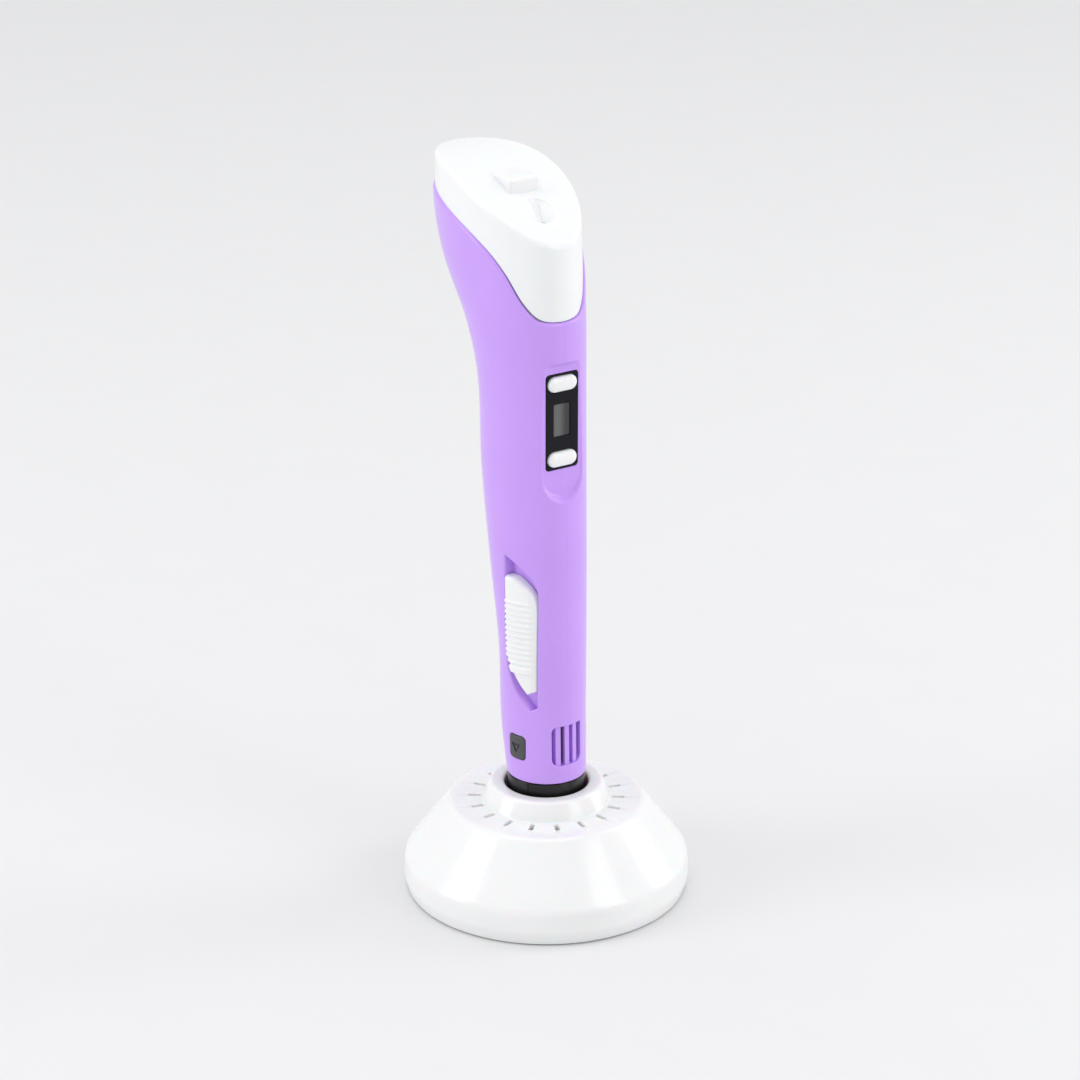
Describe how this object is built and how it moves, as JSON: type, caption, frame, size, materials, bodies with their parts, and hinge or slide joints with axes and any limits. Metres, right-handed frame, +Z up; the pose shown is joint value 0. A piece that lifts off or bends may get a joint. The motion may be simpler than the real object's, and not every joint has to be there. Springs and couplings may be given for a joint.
{
  "type": "three d pen",
  "caption": "Hand-held pen that melts plastic filament, with display, temperature keys, speed slider and feed buttons, standing in a round slotted stand.",
  "frame": {"origin": "centre of the stand's underside, on the surface that it stands on", "axes": "+Z up along the pen's filament path; the display faces -Y; the speed slider and the feed button are on the -X side; the tail flares towards +Y"},
  "size_m": [0.0754, 0.0807, 0.1936],
  "materials": {
    "white_gloss": "glossy white moulded plastic",
    "purple_satin": "satin lilac moulded plastic",
    "black_gloss": "glossy black heat-resistant plastic",
    "bezel_black": "dark smooth plastic panel",
    "screen_grey": "unlit grey display behind a clear cover",
    "button_grey": "satin dark grey plastic",
    "foot_rubber": "matt rubber",
    "natural_nylon": "natural nylon",
    "clear_tubing": "milky fluoropolymer tube",
    "circuit_board": "green solder mask",
    "ceramic": "white fired ceramic",
    "steel": "plain machined steel",
    "brass": "machined brass"
  },
  "bodies": {
    "stand": {"stand_shell": "white_gloss", "stand_seat": "white_gloss", "stand_base_plate": "white_gloss", "stand_foot_pad": "foot_rubber", "stand_screw_1": "steel", "stand_screw_2": "steel", "stand_screw_3": "steel"},
    "pen": {"left_shell": "purple_satin", "right_shell": "purple_satin", "tail_cap": "white_gloss", "nose_sleeve": "black_gloss", "nozzle": "brass", "nozzle_insulator": "ceramic", "heater_core": "ceramic", "thermistor": "brass", "heat_shield": "steel", "throat_tube": "steel", "drive_frame": "natural_nylon", "screw_bearing_lower": "brass", "screw_bearing_upper": "brass", "motor_gearbox": "steel", "motor_can": "steel", "motor_end_cap": "natural_nylon", "idler_bracket": "natural_nylon", "idler_pin": "steel", "filament_guide_tube": "clear_tubing", "power_jack": "black_gloss", "power_jack_pin": "brass", "power_jack_board": "circuit_board", "display_bezel": "bezel_black", "display_window": "screen_grey", "display_module": "natural_nylon", "display_board": "circuit_board", "temp_up_switch": "steel", "temp_down_switch": "steel", "slide_potentiometer": "steel", "side_board": "circuit_board", "retract_board": "circuit_board", "feed_switch": "steel", "retract_switch": "steel", "shell_screw_1": "steel", "shell_screw_2": "steel", "shell_screw_3": "steel"},
    "speed_slider": {"speed_slider": "white_gloss", "potentiometer_wiper": "natural_nylon"},
    "temp_up_button": {"temp_up_button": "white_gloss"},
    "temp_down_button": {"temp_down_button": "white_gloss"},
    "feed_button": {"feed_button": "button_grey"},
    "retract_button": {"retract_button": "button_grey"},
    "feed_screw": {"feed_screw": "steel", "feed_screw_gear": "brass"},
    "motor_output": {"motor_gear": "natural_nylon", "motor_shaft": "steel"},
    "idler_roller": {"idler_roller": "steel"}
  },
  "joints": [
    {"name": "pen_lift", "type": "slide", "parent": "stand", "child": "pen", "axis": [0, 0, 1], "range_m": [0, 0.06]},
    {"name": "speed_slide", "type": "slide", "parent": "pen", "child": "speed_slider", "axis": [0, 0, 1], "range_m": [-0.004, 0.004]},
    {"name": "temp_up_press", "type": "slide", "parent": "pen", "child": "temp_up_button", "axis": [0, 1, 0], "range_m": [0, 0.0005], "stiffness_N_per_m": 1000},
    {"name": "temp_down_press", "type": "slide", "parent": "pen", "child": "temp_down_button", "axis": [0, 1, 0], "range_m": [0, 0.0005], "stiffness_N_per_m": 1000},
    {"name": "feed_press", "type": "slide", "parent": "pen", "child": "feed_button", "axis": [1, 0, 0], "range_m": [0, 0.0004], "stiffness_N_per_m": 1000},
    {"name": "retract_press", "type": "slide", "parent": "pen", "child": "retract_button", "axis": [-1, 0, 0], "range_m": [0, 0.0004], "stiffness_N_per_m": 1000},
    {"name": "feed_screw_spin", "type": "hinge", "parent": "pen", "child": "feed_screw", "pos_m": [0, 0.00358, 0.07], "axis": [0, 0, 1], "continuous": true},
    {"name": "motor_spin", "type": "hinge", "parent": "pen", "child": "motor_output", "pos_m": [0, 0.00958, 0.085], "axis": [0, 0, 1], "continuous": true},
    {"name": "idler_spin", "type": "hinge", "parent": "pen", "child": "idler_roller", "pos_m": [0, -0.00392, 0.07], "axis": [1, 0, 0], "continuous": true}
  ],
  "couplings": [
    {"joint": "motor_spin", "follows": "feed_screw_spin", "ratio": -0.5},
    {"joint": "idler_spin", "follows": "feed_screw_spin", "ratio": -0.0796}
  ]
}
